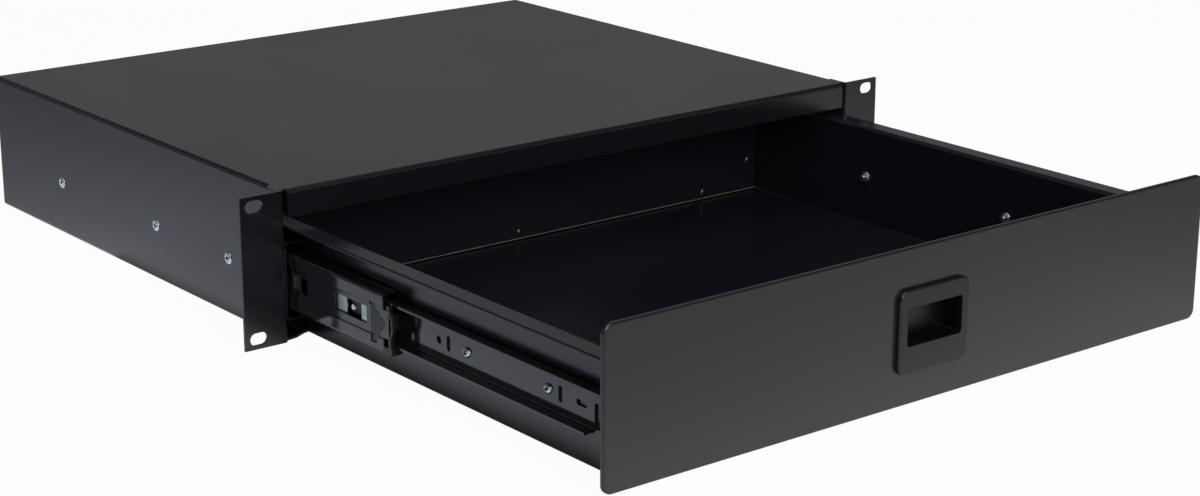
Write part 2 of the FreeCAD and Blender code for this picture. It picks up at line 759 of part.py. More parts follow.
def clip_bow():
    """The springy bow ahead of the steel, as an arc of straight lengths."""
    front = [(f"clip_front + {back} * clip_sag", f"{half} * swage_half")
             for half, back in BOW_PLACES]
    rear = [(f"{along} + clip_bow", half) for along, half in front]
    upper = [(along, f"slide_mid + {half}") for along, half in front + rear[::-1]]
    lower = [(along, f"slide_mid - {half}") for along, half in front[::-1]]
    inner = [(along, f"slide_mid - {half}") for along, half in rear]
    return outline(*(upper + inner + lower))


def front_clip(hand, side):
    """Moulded stop: a snapped-in plate, a bow ahead of the steel, a foot and a travel stop."""
    body = new_body(f"front_clip_{side}")
    plate = span(hand, "middle_face", "clip_back")
    plug = span(hand, "middle_start + swage_depth", "middle_face")
    bow = span(hand, "middle_start", "clip_back")
    stop = span(hand, "clip_back", "clip_back + clip_stop_depth")
    foot = span(hand, "middle_start", "middle_reach - clip_sag")
    plate_front = "clip_front + clip_sag + clip_bow / 2"
    grow(body, "x", *plate, block(
        (plate_front, "slide_mid - swage_half + clip_gap"),
        (f"{plate_front} + clip_plate_length", "slide_mid + swage_half - clip_gap")))
    grow(body, "x", *plug, clip_seat("clip_gap"))
    grow(body, "x", *bow, clip_bow())
    grow(body, "x", *bow, circles(
        [("middle_tongue - clip_gap", "slide_mid + swage_half + clip_knob_radius + clip_gap")],
        "clip_knob_radius"))
    grow(body, "x", *stop, block(
        ("middle_tongue", "slide_mid - clip_stop_half"),
        ("middle_tongue + clip_stop_length", "slide_mid + clip_stop_half")))
    foot_low, foot_high = "slide_mid - middle_half", "slide_mid - inner_half - clip_gap"
    foot_front, foot_back = "clip_front + clip_sag / 2", "middle_front - clip_gap"
    grow(body, "x", *foot, outline(
        (foot_front, f"{foot_low} + clip_bow"), (f"{foot_front} + clip_bow", foot_low),
        (foot_back, foot_low), (foot_back, foot_high), (foot_front, foot_high)))
    grow(body, "x", *bow, block(
        ("clip_front + clip_sag", foot_high), ("middle_tongue - clip_gap", "slide_mid - swage_half")))
    return body


def cage(label, hand, start, front, race, reach, ball_start, hole):
    """A ball retainer: a thin web with openings, and a drilled strip along each row of balls."""
    body = new_body(label)
    web, far = slide_place(hand, start), slide_place(hand, f"({start}) + cage_steel")
    tip = slide_place(hand, reach)
    back = f"({front}) + cage_length"
    half = f"({race}) + cage_strip / 2"
    low, high = f"slide_mid - ({half})", f"slide_mid + ({half})"
    grow(body, "y", front, back, outline(
        (web, low), (tip, low), (tip, f"{low} + cage_strip"), (far, f"{low} + cage_strip"),
        (far, f"{high} - cage_strip"), (tip, f"{high} - cage_strip"), (tip, high), (web, high)))
    for index in range(CAGE_OPENINGS):
        low_y = f"({front}) + cage_first_opening + {index} * cage_opening_pitch"
        cut(body, "x", "-case_half", "case_half", block(
            (low_y, "slide_mid - cage_opening_half"),
            (f"{low_y} + cage_opening", "slide_mid + cage_opening_half")))
    cut(body, "z", f"{low} - 1", f"{high} + 1", circles(
        [(slide_place(hand, ball_start), along) for along in ball_rows(front)], hole))
    return body


def ball_rows(front):
    """Where the balls of one row lie along the cage."""
    pitch = f"(cage_length - 2 * cage_margin) / {BALLS_PER_ROW - 1}"
    return [f"({front}) + cage_margin + {index} * {pitch}" for index in range(BALLS_PER_ROW)]


def balls(label, hand, start, front, race, radius):
    """Both rows of steel balls of one cage."""
    return join("Part::Compound", [
        solid_of("Part::Sphere", {"Radius": radius}, FreeCAD.Rotation(),
                 slide_place(hand, start), along, f"slide_mid + {level} * ({race})")
        for along in ball_rows(front) for level in (-1, 1)], label)


def inner_member(hand, side):
    """The drawer's own channel, open outwards, with its slots and its notched front end."""
    body = new_body(f"inner_slide_{side}")
    channel(body, hand, "inner_front", "inner_back", "slide_thickness", "-slide_steel",
            "inner_start", "inner_half", "slide_steel")
    ball_grooves(body, hand, "inner_front", "inner_back", "inner_ball_start", "inner_race",
                 "inner_groove")
    ahead, behind = "inner_front - inner_setback / 2", "inner_front + notch_depth"
    cut(body, "x", "-case_half", "case_half", outline(
        (ahead, "slide_mid - inner_half - slide_steel"),
        (behind, "slide_mid - inner_half - slide_steel"), (behind, "slide_mid + notch_rise"),
        (ahead, "slide_mid + notch_rise + notch_slope")))
    cut(body, "x", "-case_half", "case_half", slots(
        [("panel_back + second_slot_at", "slide_mid"), ("panel_back + third_slot_at", "slide_mid")],
        "inner_slot_length", "inner_slot_width", upright=True))
    cut(body, "x", "-case_half", "case_half", slots(
        [("panel_back + front_slot_at", "slide_mid")], "inner_slot_length", "inner_slot_width"))
    cut(body, "x", "-case_half", "case_half", circles(
        [("panel_back + round_hole_at", "slide_mid")], "round_hole_radius"))
    cut(body, "x", "-case_half", "case_half", circles(
        drawer_screw_places(), "drawer_screw_radius + hole_play"))
    cut(body, "x", "-case_half", "case_half", circles(
        [("stop_front + stop_rivet_at", "slide_mid")], "rivet_radius + hole_play"))
    return body


def drawer_screw_places():
    return [(f"panel_back + {name}", "slide_mid") for name in
            ("drawer_screw_first", "drawer_screw_second", "drawer_screw_third")]


def travel_stop(hand, side):
    """Plastic block in the inner member that meets the front clip at the end of its travel."""
    body = new_body(f"travel_stop_{side}")
    far = "slide_thickness - slide_steel"
    grow(body, "x", *span(hand, f"{far} - stop_depth", far), block(
        ("stop_front", "slide_mid - stop_half"),
        ("stop_front + stop_length", "slide_mid + stop_half")))
    face = slide_place(hand, f"{far} - stop_depth")
    round_edges(body, "slide_bend", {"x": face, "z": "slide_mid - stop_half"},
                {"x": face, "z": "slide_mid + stop_half"})
    cut(body, "x", "-case_half", "case_half", circles(
        [("stop_front + stop_rivet_at", "slide_mid")], "rivet_radius + hole_play"))
    return body


def stop_rivet(hand, side):
    heading = "+x" if hand < 0 else "-x"
    far = "slide_thickness - slide_steel"
    place = (slide_place(hand, f"{far} - stop_depth"), "stop_front + stop_rivet_at", "slide_mid")
    rivet = dome_rivet(heading, place, "stop_depth + slide_steel", "rivet_radius",
                       "stop_rivet_radius", "stop_rivet_height")
    rivet.Label = f"stop_rivet_{side}"
    return rivet


def case_screws(hand, side):
    heading = "+x" if hand < 0 else "-x"
    return join("Part::Compound", [
        cross_screw("case_screw", heading, (f"{hand} * case_half", name, "slide_mid"),
                    "case_wall + slide_steel")
        for name in ("case_screw_first", "case_screw_second", "case_screw_third")],
        f"case_slide_screws_{side}")


def drawer_screws(hand, side):
    heading = "+x" if hand < 0 else "-x"
    face = slide_place(hand, "slide_thickness - slide_steel")
    shank = "slide_steel + tray_wall + nut_height + screw_end"
    return join("Part::Compound", [
        cross_screw("drawer_screw", heading, (face, along, up), shank)
        for along, up in drawer_screw_places()],
        f"drawer_slide_screws_{side}")


def drawer_nuts(hand, side):
    heading = "+x" if hand < 0 else "-x"
    return join("Part::Compound", [
        flange_nut(heading, (f"{hand} * tray_inside", along, up))
        for along, up in drawer_screw_places()], f"drawer_slide_nuts_{side}")


# Drawer --------------------------------------------------------------------------------------

def drawer_tray():
    """Floor, side walls with outward flanges, front wall, rear upstand and rear corner tabs."""
    body = new_body("drawer_tray")
    half = "tray_inside - tray_corner_gap - bend_radius"
    front_high = "floor_low + front_wall_height"
    foot_end = "panel_back + tray_front_foot"
    grow(body, "x", f"-({half})", half, outline(
        ("panel_back", "floor_low"), (foot_end, "floor_low"), (foot_end, "floor_top"),
        ("panel_back + tray_wall", "floor_top"), ("panel_back + tray_wall", front_high),
        ("panel_back", front_high)))
    round_edges(body, "tray_bend", {"y": "panel_back", "z": "floor_low"})
    round_edges(body, "bend_radius", {"y": "panel_back + tray_wall", "z": "floor_top"})
    flange_low = "wall_top - tray_wall"
    tip = "tray_half + tray_flange"
    grow(body, "y", "panel_back + tray_bend", "tray_back", outline(
        ("-tray_half", "floor_low"), ("tray_half", "floor_low"), ("tray_half", flange_low),
        (tip, flange_low), (tip, "wall_top"), ("tray_inside", "wall_top"),
        ("tray_inside", "floor_top"), ("-tray_inside", "floor_top"), ("-tray_inside", "wall_top"),
        (f"-({tip})", "wall_top"), (f"-({tip})", flange_low), ("-tray_half", flange_low)))
    for hand in (-1, 1):
        outside, inside = f"{hand} * tray_half", f"{hand} * tray_inside"
        round_edges(body, "tray_bend", {"x": outside, "z": "floor_low"},
                    {"x": inside, "z": "wall_top"})
        round_edges(body, "bend_radius", {"x": inside, "z": "floor_top"},
                    {"x": outside, "z": flange_low})
        round_edges(body, "flange_round", {"x": f"{hand} * ({tip})", "z": "wall_top"})
    rear_half = "tray_inside - rear_tab - tray_corner_gap"
    grow(body, "x", f"-({rear_half})", rear_half, block(
        ("tray_back - tray_wall", "floor_top"), ("tray_back", "floor_low + rear_upstand")))
    round_edges(body, "bend_radius", {"y": "tray_back - tray_wall", "z": "floor_top"})
    for hand in (-1, 1):
        grow(body, "z", "floor_top + bend_radius + tray_corner_gap",
             "wall_top - tray_bend - tray_corner_gap", block(
                 (f"{hand} * tray_inside", "tray_back - tray_wall"),
                 (f"{hand} * (tray_inside - rear_tab)", "tray_back")))
    cut(body, "x", "-case_half", "case_half", circles(
        drawer_screw_places(), "drawer_screw_radius + hole_play"))
    cut(body, "y", "tray_back - 2 * tray_wall", "tray_back + tray_wall", circles(
        back_rivet_places(), "rivet_radius + hole_play"))
    cut(body, "y", "panel_back - 1", "panel_back + tray_wall + 1", circles(
        stud_places(), "drawer_screw_radius + cutout_play"))
    cut(body, "y", "panel_back - 1", "panel_back + tray_wall + 1", block(
        ("-cup_half_width - 2 * cutout_play - snap_reach", "cup_low - 2 * cutout_play"),
        ("cup_half_width + 2 * cutout_play + snap_reach", "cup_high + 2 * cutout_play")))
    return body


def back_rivet_places():
    """Three rivets into the floor's upstand, then two into each corner tab."""
    low = [
        (f"{step} * (tray_inside - back_rivet_inset)", "floor_low + back_rivet_rise")
        for step in (-1, 0, 1)
    ]
    tabs = [(f"{hand} * (tray_inside - tab_rivet_inset)",
             f"floor_low + tab_rivet_rise + {step} * tab_rivet_pitch")
            for hand in (-1, 1) for step in (0, 1)]
    return low + tabs


def stud_places():
    return [(f"{hand} * (tray_inside - stud_inset)", f"panel_mid + {step} * stud_up")
            for hand in (-1, 1) for step in (-1, 1)]


def drawer_back():
    """Flat plate between the side walls, riveted to the upstand and the corner tabs."""
    body = new_body("drawer_back")
    half = "tray_inside - seam_gap"
    grow(body, "y", "plate_front", "plate_front + tray_wall", block(
        (f"-({half})", "floor_top + bend_radius"), (half, "wall_top - seam_gap")))
    for hand in (-1, 1):
        round_edges(body, "tray_bend", {"x": f"{hand} * ({half})", "z": "floor_top + bend_radius"})
    cut(body, "y", "plate_front - 1", "plate_front + tray_wall + 1", circles(
        back_rivet_places(), "rivet_radius + hole_play"))
    return body


def drawer_back_rivets():
    return join("Part::Compound", [
        dome_rivet("+y", (across, "plate_front", up), "2 * tray_wall", "rivet_radius",
                   "rivet_head_radius", "rivet_head_height")
        for across, up in back_rivet_places()], "drawer_back_rivets")


def front_panel():
    """Flat front with rounded corners, the pull's opening, and four weld studs behind."""
    body = new_body("front_panel")
    half, low, high = "panel_half", "panel_low", "panel_high"
    grow(body, "y", "panel_front", "panel_back", block((f"-{half}", low), (half, high)))
    round_edges(body, "panel_corner", {"x": f"-{half}", "z": low}, {"x": half, "z": low},
                {"x": f"-{half}", "z": high}, {"x": half, "z": high})
    rim = {"y": "panel_front"}
    round_edges(body, "panel_round", rim)
    cut(body, "y", "panel_front - 1", "panel_back + 1", block(
        ("-cup_half_width - cutout_play", "cup_low - cutout_play"),
        ("cup_half_width + cutout_play", "cup_high + cutout_play")))
    grow(body, "y", "panel_back", "panel_back + tray_wall + nut_height + screw_end", circles(
        stud_places(), "drawer_screw_radius"))
    return body


def front_panel_nuts():
    return join("Part::Compound", [
        flange_nut("+y", (across, "panel_back + tray_wall", up))
        for across, up in stud_places()], "front_panel_nuts")


def pull_cup():
    """Moulded recessed pull: a rounded frame, a cup behind it, and a finger space above its mouth."""
    body = new_body("pull_cup")
    face = "panel_front - pull_proud"
    half, low, high = "pull_width / 2", "pull_mid - pull_height / 2", "pull_mid + pull_height / 2"
    grow(body, "y", face, "panel_front", block((f"-{half}", low), (half, high)))
    corners = [{"x": f"{hand} * {half}", "z": level} for hand in (-1, 1) for level in (low, high)]
    round_edges(body, "pull_corner", *corners)
    rim = [{"y": face}]
    round_edges(body, "pull_round", *rim)
    grow(body, "y", "panel_front", "cup_back", block(
        ("-cup_half_width", "cup_low"), ("cup_half_width", "cup_high")))
    back_corners = [{"y": "cup_back", "z": level} for level in ("cup_low", "cup_high")]
    round_edges(body, "cup_wall", *back_corners)
    for hand in (-1, 1):
        root = f"{hand} * cup_half_width"
        grow(body, "z", "mouth_mid - snap_length / 2", "mouth_mid + snap_length / 2", outline(
            (root, "panel_back + hole_play"),
            (f"{root} + {hand} * snap_reach", "panel_back + hole_play"),
            (root, "panel_back + hole_play + snap_height")))
    mouth = "mouth_width / 2"
    mouth_low, mouth_high = "mouth_mid - mouth_height / 2", "mouth_mid + mouth_height / 2"
    cut(body, "y", f"{face} - 1", "cup_back - cup_wall", block(
        (f"-{mouth}", mouth_low), (mouth, mouth_high)))
    mouth_corners = [{"x": f"{hand} * {mouth}", "z": level}
                     for hand in (-1, 1) for level in (mouth_low, mouth_high)]
    round_edges(body, "mouth_corner", *mouth_corners)
    cut(body, "y", "panel_front", "cup_back - cup_wall", block(
        (f"-{mouth}", "mouth_mid"), (mouth, f"{mouth_high} + cup_undercut")))
    return body


# Assembly ------------------------------------------------------------------------------------

def build_slides():
    parts = []
    for hand, side in ((-1, "left"), (1, "right")):
        outer = (hand, "outer_cage_start", "outer_cage_front", "outer_race",
                 "middle_reach - cage_edge", "outer_ball_start", "outer_ball_radius + hole_play")
        inner = (hand, "inner_cage_start", "inner_cage_front", "inner_race",
                 "middle_reach - cage_edge + 1", "inner_ball_start",
                 "inner_ball_radius + hole_play")
        parts += [
            outer_member(hand, side), rear_bumper(hand, side), case_screws(hand, side),
            middle_member(hand, side), front_clip(hand, side), inner_member(hand, side),
            travel_stop(hand, side), stop_rivet(hand, side), drawer_screws(hand, side),
            drawer_nuts(hand, side),
            cage(f"outer_ball_cage_{side}", *outer), cage(f"inner_ball_cage_{side}", *inner),
            balls(f"outer_balls_{side}", hand, "outer_ball_start", "outer_cage_front",
                  "outer_race", "outer_ball_radius"),
            balls(f"inner_balls_{side}", hand, "inner_ball_start", "inner_cage_front",
                  "inner_race", "inner_ball_radius")]
    return parts


def check(parts):
    """Stops if any object failed, or any part isn't a valid solid."""
    for item in doc.Objects:
        if "Invalid" in item.State or "Error" in item.State:
            raise RuntimeError(f"{item.Name} ({item.Label}) failed: {item.State}")
    for item in parts:
        if item.Shape.isNull() or not item.Shape.isValid() or not item.Shape.Solids:
            raise RuntimeError(f"{item.Label} isn't a valid solid")


def main():
    parts = [
        case_shell(), rear_panel(), rear_panel_screws(), drawer_tray(), drawer_back(),
        drawer_back_rivets(), front_panel(), front_panel_nuts(), pull_cup()] + build_slides()
    doc.recompute()
    check(parts)
    os.makedirs("parts", exist_ok=True)
    for item in parts:
        item.Shape.exportStep(f"parts/{item.Label}.step")
    print(f"{len(parts)} parts written")


main()
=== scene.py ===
import json
import math

import bmesh
import bpy
import numpy as np
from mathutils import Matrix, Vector


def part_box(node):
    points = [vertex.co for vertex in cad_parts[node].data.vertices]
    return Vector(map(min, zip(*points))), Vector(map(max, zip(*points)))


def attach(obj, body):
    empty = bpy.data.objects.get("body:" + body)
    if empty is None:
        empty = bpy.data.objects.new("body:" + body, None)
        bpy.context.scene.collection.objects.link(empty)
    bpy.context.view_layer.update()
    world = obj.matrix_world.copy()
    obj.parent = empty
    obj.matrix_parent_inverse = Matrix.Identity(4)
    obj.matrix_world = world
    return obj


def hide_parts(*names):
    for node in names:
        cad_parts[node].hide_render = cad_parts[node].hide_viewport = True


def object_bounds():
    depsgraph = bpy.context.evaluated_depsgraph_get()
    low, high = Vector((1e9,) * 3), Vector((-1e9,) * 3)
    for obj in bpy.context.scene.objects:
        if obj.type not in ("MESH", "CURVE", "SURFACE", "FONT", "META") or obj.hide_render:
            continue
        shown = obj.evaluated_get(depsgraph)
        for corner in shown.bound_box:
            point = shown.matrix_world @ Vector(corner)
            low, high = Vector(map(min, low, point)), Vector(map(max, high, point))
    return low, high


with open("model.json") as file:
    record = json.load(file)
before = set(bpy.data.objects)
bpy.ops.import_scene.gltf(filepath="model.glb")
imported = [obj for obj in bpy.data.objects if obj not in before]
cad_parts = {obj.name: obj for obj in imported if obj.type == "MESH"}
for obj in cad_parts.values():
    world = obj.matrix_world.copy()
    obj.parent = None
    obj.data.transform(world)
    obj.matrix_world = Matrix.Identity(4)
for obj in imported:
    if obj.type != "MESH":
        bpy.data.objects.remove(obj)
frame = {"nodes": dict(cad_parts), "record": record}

CAD_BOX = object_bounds()
NODES = frame["nodes"]
MM = 0.001


# Nodes and materials -------------------------------------------------------------------------

USUAL_NOISE = (0.3, 0.7)    # most of a noise texture's values lie between these
WHOLE_NOISE = (0.0, 1.0)


def srgb(text):
    """Turns a hex colour such as "1a1b1c" into linear red, green, blue and alpha."""
    levels = np.array([int(text[i:i + 2], 16) / 255 for i in (0, 2, 4)])
    linear = np.where(levels <= 0.04045, levels / 12.92, ((levels + 0.055) / 1.055) ** 2.4)
    return (*linear.tolist(), 1.0)


def add(tree, kind, inputs=None, **settings):
    """Adds a node, sets its properties, and gives each named input a value or a link."""
    node = tree.nodes.new(kind)
    for name, setting in settings.items():
        setattr(node, name, setting)
    for name, given in (inputs or {}).items():
        if isinstance(given, bpy.types.NodeSocket):
            tree.links.new(given, node.inputs[name])
        else:
            node.inputs[name].default_value = given
    return node


def surface(name, sockets, colour, gloss, relief=None, drawn_out=(1.0, 1.0, 1.0)):
    """A material whose colour, roughness and relief each follow a noise in lumps of one width.

    Colour goes from one value to another over the noise values in "over", roughness over the usual
    ones. Roughness and relief may be drawn out along an axis, as by rolling.
    """
    material = bpy.data.materials.new(name)
    material.use_nodes = True
    tree = material.node_tree
    tree.nodes.clear()
    place = add(tree, "ShaderNodeTexCoord").outputs["Object"]
    rolled = add(tree, "ShaderNodeMapping", {"Vector": place, "Scale": drawn_out})
    rolled = rolled.outputs["Vector"]
    noise = [add(tree, "ShaderNodeTexNoise", {
        "Vector": where, "Scale": 1.0 / (part["lumps_mm"] * MM), "Detail": part["detail"],
    }).outputs["Fac"] for part, where in ((colour, place), (gloss, rolled), (relief, rolled))
        if part]
    low, high = colour.get("over", USUAL_NOISE)
    share = add(tree, "ShaderNodeMapRange",
                {"Value": noise[0], "From Min": low, "From Max": high})
    mixed = add(tree, "ShaderNodeMix", {0: share.outputs["Result"], 6: srgb(colour["from"]),
                                        7: srgb(colour["to"])}, data_type="RGBA")
    low, high = USUAL_NOISE
    rough = add(tree, "ShaderNodeMapRange",
                {"Value": noise[1], "From Min": low, "From Max": high,
                 "To Min": gloss["from"], "To Max": gloss["to"]})
    sockets = {**sockets, "Base Color": mixed.outputs[2], "Roughness": rough.outputs["Result"]}
    if relief:
        bump = add(tree, "ShaderNodeBump", {"Height": noise[2], "Distance": relief["height"],
                                            "Strength": 1.0})
        sockets["Normal"] = bump.outputs["Normal"]
    shader = add(tree, "ShaderNodeBsdfPrincipled", sockets)
    add(tree, "ShaderNodeOutputMaterial", {"Surface": shader.outputs["BSDF"]})
    return material


def lay_over(material, share, colour):
    """Covers a material's own colour with another one by a share from 0 to 1."""
    tree = material.node_tree
    shader = next(node for node in tree.nodes if node.type == "BSDF_PRINCIPLED")
    own = shader.inputs["Base Color"].links[0].from_socket
    over = add(tree, "ShaderNodeMix", {0: share, 6: own, 7: srgb(colour)}, data_type="RGBA")
    tree.links.new(over.outputs[2], shader.inputs["Base Color"])


def powder_coat(name, dark, light, rough):
    """Fused polyester powder over steel: an even satin black whose surface is a fine orange peel.

    The lumps of the peel are about 1.6 mm wide, and a haze from handling 70 mm. The powder's own
    grain is far finer, and is drawn 0.7 mm wide so that it shows.
    """
    return surface(
        name, {"IOR": 1.56},
        colour={"lumps_mm": 0.7, "detail": 1.0, "from": dark, "to": light},
        gloss={"lumps_mm": 70.0, "detail": 3.0, "from": rough - 0.012, "to": rough + 0.018},
        relief={"lumps_mm": 1.6, "detail": 2.0, "height": 0.012 * MM})


HIGHLIGHT_HEIGHT = 0.35 * MM       # height of the painted highlight along the drawer back's lower edge
HIGHLIGHT_RAGGED = 0.12 * MM     # its upper edge wanders and fades by this
HIGHLIGHT_LUMPS_MM = 6.0


def powder_coat_edge_highlight(name, dark, light, rough, low):
    """The same coat with a thin pale brownish line painted along the plate's lower edge, a painted
    highlight for the light along the seam.
    """
    material = powder_coat(name, dark, light, rough)
    tree = material.node_tree
    place = add(tree, "ShaderNodeTexCoord").outputs["Object"]
    height = add(tree, "ShaderNodeSeparateXYZ", {0: place}).outputs["Z"]
    lumps = add(tree, "ShaderNodeTexNoise", {
        "Vector": place, "Scale": 1.0 / (HIGHLIGHT_LUMPS_MM * MM), "Detail": 2.0}).outputs["Fac"]
    least, most = USUAL_NOISE
    ragged = add(tree, "ShaderNodeMapRange", {
        "Value": lumps, "From Min": least, "From Max": most,
        "To Min": -HIGHLIGHT_RAGGED, "To Max": HIGHLIGHT_RAGGED}).outputs["Result"]
    wavy_height = add(tree, "ShaderNodeMath", {0: height, 1: ragged}, operation="ADD").outputs[0]
    lit_line = add(tree, "ShaderNodeMapRange", {
        "Value": wavy_height, "From Min": low + HIGHLIGHT_HEIGHT, "From Max": low + HIGHLIGHT_HEIGHT + HIGHLIGHT_RAGGED,
        "To Min": 1.0, "To Max": 0.0}, interpolation_type="SMOOTHSTEP").outputs["Result"]
    # Painted highlight: a pale brownish line along the lower edge, for the light along the seam
    # there.
    lay_over(material, lit_line, "8b7f74")
    return material


def electro_coat(name, dark, light, rough):
    """Thin dipped paint on cold-rolled slide steel: glossier, with faint lines along the rolling.

    The real lines are closer, and are drawn 0.8 mm apart so that they show.
    """
    return surface(
        name, {"IOR": 1.60}, drawn_out=(1.0, 0.02, 1.0),
        colour={"lumps_mm": 25.0, "detail": 2.0, "from": dark, "to": light},
        gloss={"lumps_mm": 0.8, "detail": 3.0, "from": rough - 0.04, "to": rough + 0.05},
        relief={"lumps_mm": 0.8, "detail": 3.0, "height": 0.004 * MM})


def zinc_plate(name, pale, tint, rough, stain_mm):
    """Electroplated zinc: bright silver with a faint blue to straw stain from the passivation.

    An attribute darkens what lies deep in a screw's recess: painted shade for the shadow there.
    """
    material = surface(
        name, {"Metallic": 1.0},
        colour={"lumps_mm": stain_mm, "detail": 2.0, "from": pale, "to": tint},
        gloss={"lumps_mm": 0.6, "detail": 3.0, "from": rough - 0.06, "to": rough + 0.08})
    painted_shade = add(material.node_tree, "ShaderNodeAttribute", attribute_name="painted_shade").outputs["Fac"]
    # Painted shade: the colour goes dark deep in a screw's recess.
    lay_over(material, painted_shade, "1c1d20")
    return material


def bearing_steel(name):
    """Ground and polished ball steel: a near mirror under a thin film of grease."""
    return surface(
        name, {"Metallic": 1.0},
        colour={"lumps_mm": 1.5, "detail": 2.0, "from": "b9bcbd", "to": "d6d8d8",
                "over": WHOLE_NOISE},
        gloss={"lumps_mm": 1.5, "detail": 2.0, "from": 0.10, "to": 0.22})


def moulded_nylon(name, dark, light, rough, texture_mm):
    """Black glass-filled nylon from a spark-eroded mould: matt, with an even fine stipple.

    The real stipple is finer, and is drawn as wide as the given texture so that it shows.
    """
    return surface(
        name, {},
        colour={"lumps_mm": 12.0, "detail": 2.0, "from": dark, "to": light},
        gloss={"lumps_mm": texture_mm, "detail": 2.0, "from": rough - 0.05, "to": rough + 0.05},
        relief={"lumps_mm": texture_mm, "detail": 2.0, "height": 0.02 * MM})


CUP_RIM = 1.0 * MM          # painted shade: the cup's inside darkens to near black between these depths behind its front
CUP_FULL_SHADE = 4.0 * MM


def moulded_nylon_shaded_cup(name, dark, light, rough, texture_mm, front):
    """The same nylon as a deep cup, with painted shade that turns its inside near black."""
    material = moulded_nylon(name, dark, light, rough, texture_mm)
    tree = material.node_tree
    place = add(tree, "ShaderNodeTexCoord").outputs["Object"]
    depth = add(tree, "ShaderNodeSeparateXYZ", {0: place}).outputs["Y"]
    inside = add(tree, "ShaderNodeMapRange", {
        "Value": depth, "From Min": front + CUP_RIM, "From Max": front + CUP_FULL_SHADE},
        interpolation_type="SMOOTHSTEP").outputs["Result"]
    # Painted shade inside the cup, near black.
    lay_over(material, inside, "020203")
    return material


def soft_rubber(name):
    """Moulded black rubber: no gloss, with a bloom that greys it in patches."""
    return surface(
        name, {},
        colour={"lumps_mm": 2.5, "detail": 3.0, "from": "101010", "to": "2a2a29",
                "over": WHOLE_NOISE},
        gloss={"lumps_mm": 2.5, "detail": 3.0, "from": 0.7, "to": 0.9})


FINISHES = {
    "case_paint": powder_coat("satin_black_powder_coat_case", "131418", "17181c", 0.22),
    "drawer_paint": powder_coat("satin_black_powder_coat_drawer", "14131c", "181721", 0.24),
    "front_paint": powder_coat("satin_black_powder_coat_front", "191a1b", "1d1e1f", 0.24),
    "slide_black": electro_coat("black_electro_coat", "17181c", "1b1c20", 0.10),
    "cage_zinc": zinc_plate("bright_zinc_strip", "8ba6a8", "cdc5aa", 0.26, 7.0),
    "ball_steel": bearing_steel("polished_ball_steel"),
    "fastener_zinc": zinc_plate("bright_zinc_fastener", "e6eaeb", "cdd6dc", 0.20, 3.0),
    "pull_plastic": moulded_nylon_shaded_cup("black_nylon_pull", "0d0e11", "121316", 0.36, 0.9,
                                      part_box("pull_cup")[0][1]),
    "clip_plastic": moulded_nylon("black_nylon_clip", "0f0f10", "151516", 0.42, 0.8),
    "stop_plastic": moulded_nylon("black_nylon_stop", "0f0f10", "151516", 0.42, 0.8),
    "bumper_rubber": soft_rubber("black_rubber"),
}

# Nodes set apart from the rest of their slot: the drawer back by a painted highlight along its
# lower edge, and the rivets by their own bronzed finish.
OWN_FINISH_AND_HIGHLIGHT = {
    "drawer_back": powder_coat_edge_highlight("satin_black_powder_coat_edge_highlight", "14131c", "181721",
                                       0.24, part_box("drawer_back")[0][2]),
    "drawer_back_rivets": zinc_plate("dull_bronzed_zinc_rivet", "66594a", "4a423a", 0.34, 3.0),
}

SLOTS = {entry["node"]: entry["material_slot"] for entry in frame["record"]["subparts"]}


def dress(node):
    """Gives a CAD node its own finish, or that of its material slot."""
    data = NODES[node].data
    data.materials.clear()
    data.materials.append(OWN_FINISH_AND_HIGHLIGHT.get(node) or FINISHES[SLOTS[node]])


for node in NODES:
    dress(node)


# Turned fasteners ----------------------------------------------------------------------------

ANGLES = np.linspace(0.0, 2 * np.pi, 96, endpoint=False)
HEAD_RINGS = 34
THREAD_RINGS = 40
NUT_RINGS = 8
SHARP_BEND = math.radians(32.0)
MERGE_WITHIN = 1e-7


def closed_grid(points, start):
    """Faces of a tube of rings whose corners are numbered from start.

    Row i and row i + 1 are joined all round, and each end is closed by one face.
    """
    rows, columns = points.shape[:2]
    index = start + np.arange(rows * columns).reshape(rows, columns)
    after = np.roll(index, -1, axis=1)
    walls = np.stack([index[:-1], after[:-1], after[1:], index[1:]], axis=-1).reshape(-1, 4)
    return walls.tolist() + [index[0].tolist(), index[-1][::-1].tolist()]


def piece_from(name, parts, body, slot, *nodes):
    """One object from several closed grids, with its faces outwards, in place of CAD nodes.

    Each part is its points and how much painted shade each of them has, from 0 to 1.
    """
    corners = np.concatenate([points.reshape(-1, 3) for points, _ in parts])
    painted_shade = np.concatenate([darkening.ravel() for _, darkening in parts])
    faces, start = [], 0
    for points, darkening in parts:
        faces += closed_grid(points, start)
        start += darkening.size
    mesh = bpy.data.meshes.new(name)
    mesh.from_pydata(corners.tolist(), [], faces)
    mesh.attributes.new("painted_shade", "FLOAT", "POINT").data.foreach_set("value", painted_shade)
    shell = bmesh.new()
    shell.from_mesh(mesh)
    bmesh.ops.remove_doubles(shell, verts=shell.verts, dist=MERGE_WITHIN)
    bmesh.ops.recalc_face_normals(shell, faces=shell.faces)
    shell.to_mesh(mesh)
    shell.free()
    mesh.shade_smooth()
    mesh.set_sharp_from_angle(angle=SHARP_BEND)
    mesh.materials.append(FINISHES[slot])
    piece = bpy.data.objects.new(name, mesh)
    bpy.context.scene.collection.objects.link(piece)
    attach(piece, body)
    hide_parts(*nodes)


def across(place, outward, along, radius):
    """Rings round an axis along X: a distance along it, and a radius at every angle."""
    along, radius = np.broadcast_arrays(along, radius)
    return np.stack([place[0] + outward * along,
                     place[1] + radius * np.cos(ANGLES),
                     place[2] + radius * np.sin(ANGLES)], axis=-1)


